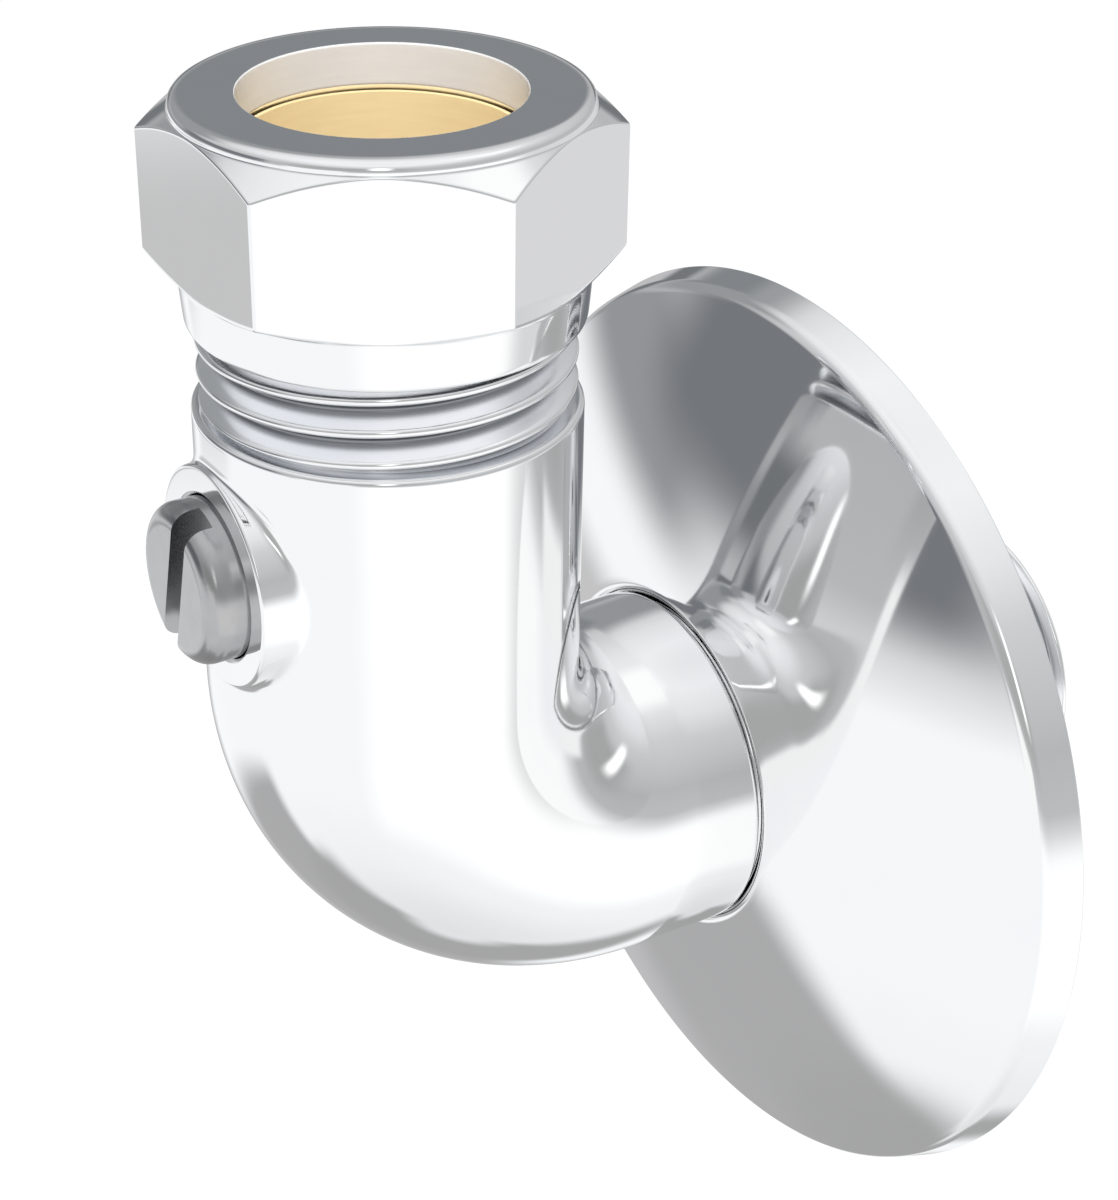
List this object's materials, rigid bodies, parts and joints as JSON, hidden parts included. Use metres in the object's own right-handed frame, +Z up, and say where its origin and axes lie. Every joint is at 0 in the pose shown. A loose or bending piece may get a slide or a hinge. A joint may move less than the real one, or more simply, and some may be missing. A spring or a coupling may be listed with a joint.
{
  "type": "angled isolating valve",
  "caption": "Chrome angled isolating valve: compression nut on top, swept elbow, slotted spindle on the front, threaded spigot through a round wall flange.",
  "frame": {"origin": "where the outlet spigot's axis meets the wall, in the plane of the wall flange's rear rim", "axes": "+Y into the wall along the outlet spigot, +Z up along the inlet, +X to the right seen from the front, where the spindle is"},
  "size_m": [0.06, 0.0583, 0.0774],
  "materials": {
    "body_chrome": "polished",
    "nut_chrome": "polished",
    "flange_chrome": "polished",
    "spindle_chrome": "satin",
    "ball_chrome": "polished",
    "olive_brass": "turned",
    "retainer_brass": "turned",
    "seat_white": "waxy",
    "ring_rubber": "matte"
  },
  "bodies": {
    "valve": {"valve_body": "body_chrome", "inlet_seat": "seat_white", "outlet_seat": "seat_white", "inlet_seat_o_ring": "ring_rubber", "outlet_seat_o_ring": "ring_rubber", "seat_retainer": "retainer_brass"},
    "ball_and_spindle": {"spindle": "spindle_chrome", "spindle_o_ring": "ring_rubber", "ball": "ball_chrome"},
    "olive_ring": {"olive": "olive_brass"},
    "nut": {"compression_nut": "nut_chrome"},
    "flange": {"wall_flange": "flange_chrome"}
  },
  "joints": [
    {"name": "spindle_turn", "type": "hinge", "parent": "valve", "child": "ball_and_spindle", "pos_m": [0, -0.0281, 0.0215], "axis": [0, 1, 0], "continuous": true},
    {"name": "nut_lift", "type": "slide", "parent": "valve", "child": "olive_ring", "axis": [0, 0, 1], "range_m": [0, 0.00365]},
    {"name": "nut_spin", "type": "hinge", "parent": "olive_ring", "child": "nut", "pos_m": [0, -0.0281, 0.041], "axis": [0, 0, 1], "range_deg": [0, 720]},
    {"name": "flange_slide", "type": "slide", "parent": "valve", "child": "flange", "axis": [0, 1, 0], "range_m": [0, 0.015]}
  ],
  "couplings": [
    {"joint": "nut_lift", "follows": "nut_spin", "m_per_rad": 0.00028871}
  ]
}
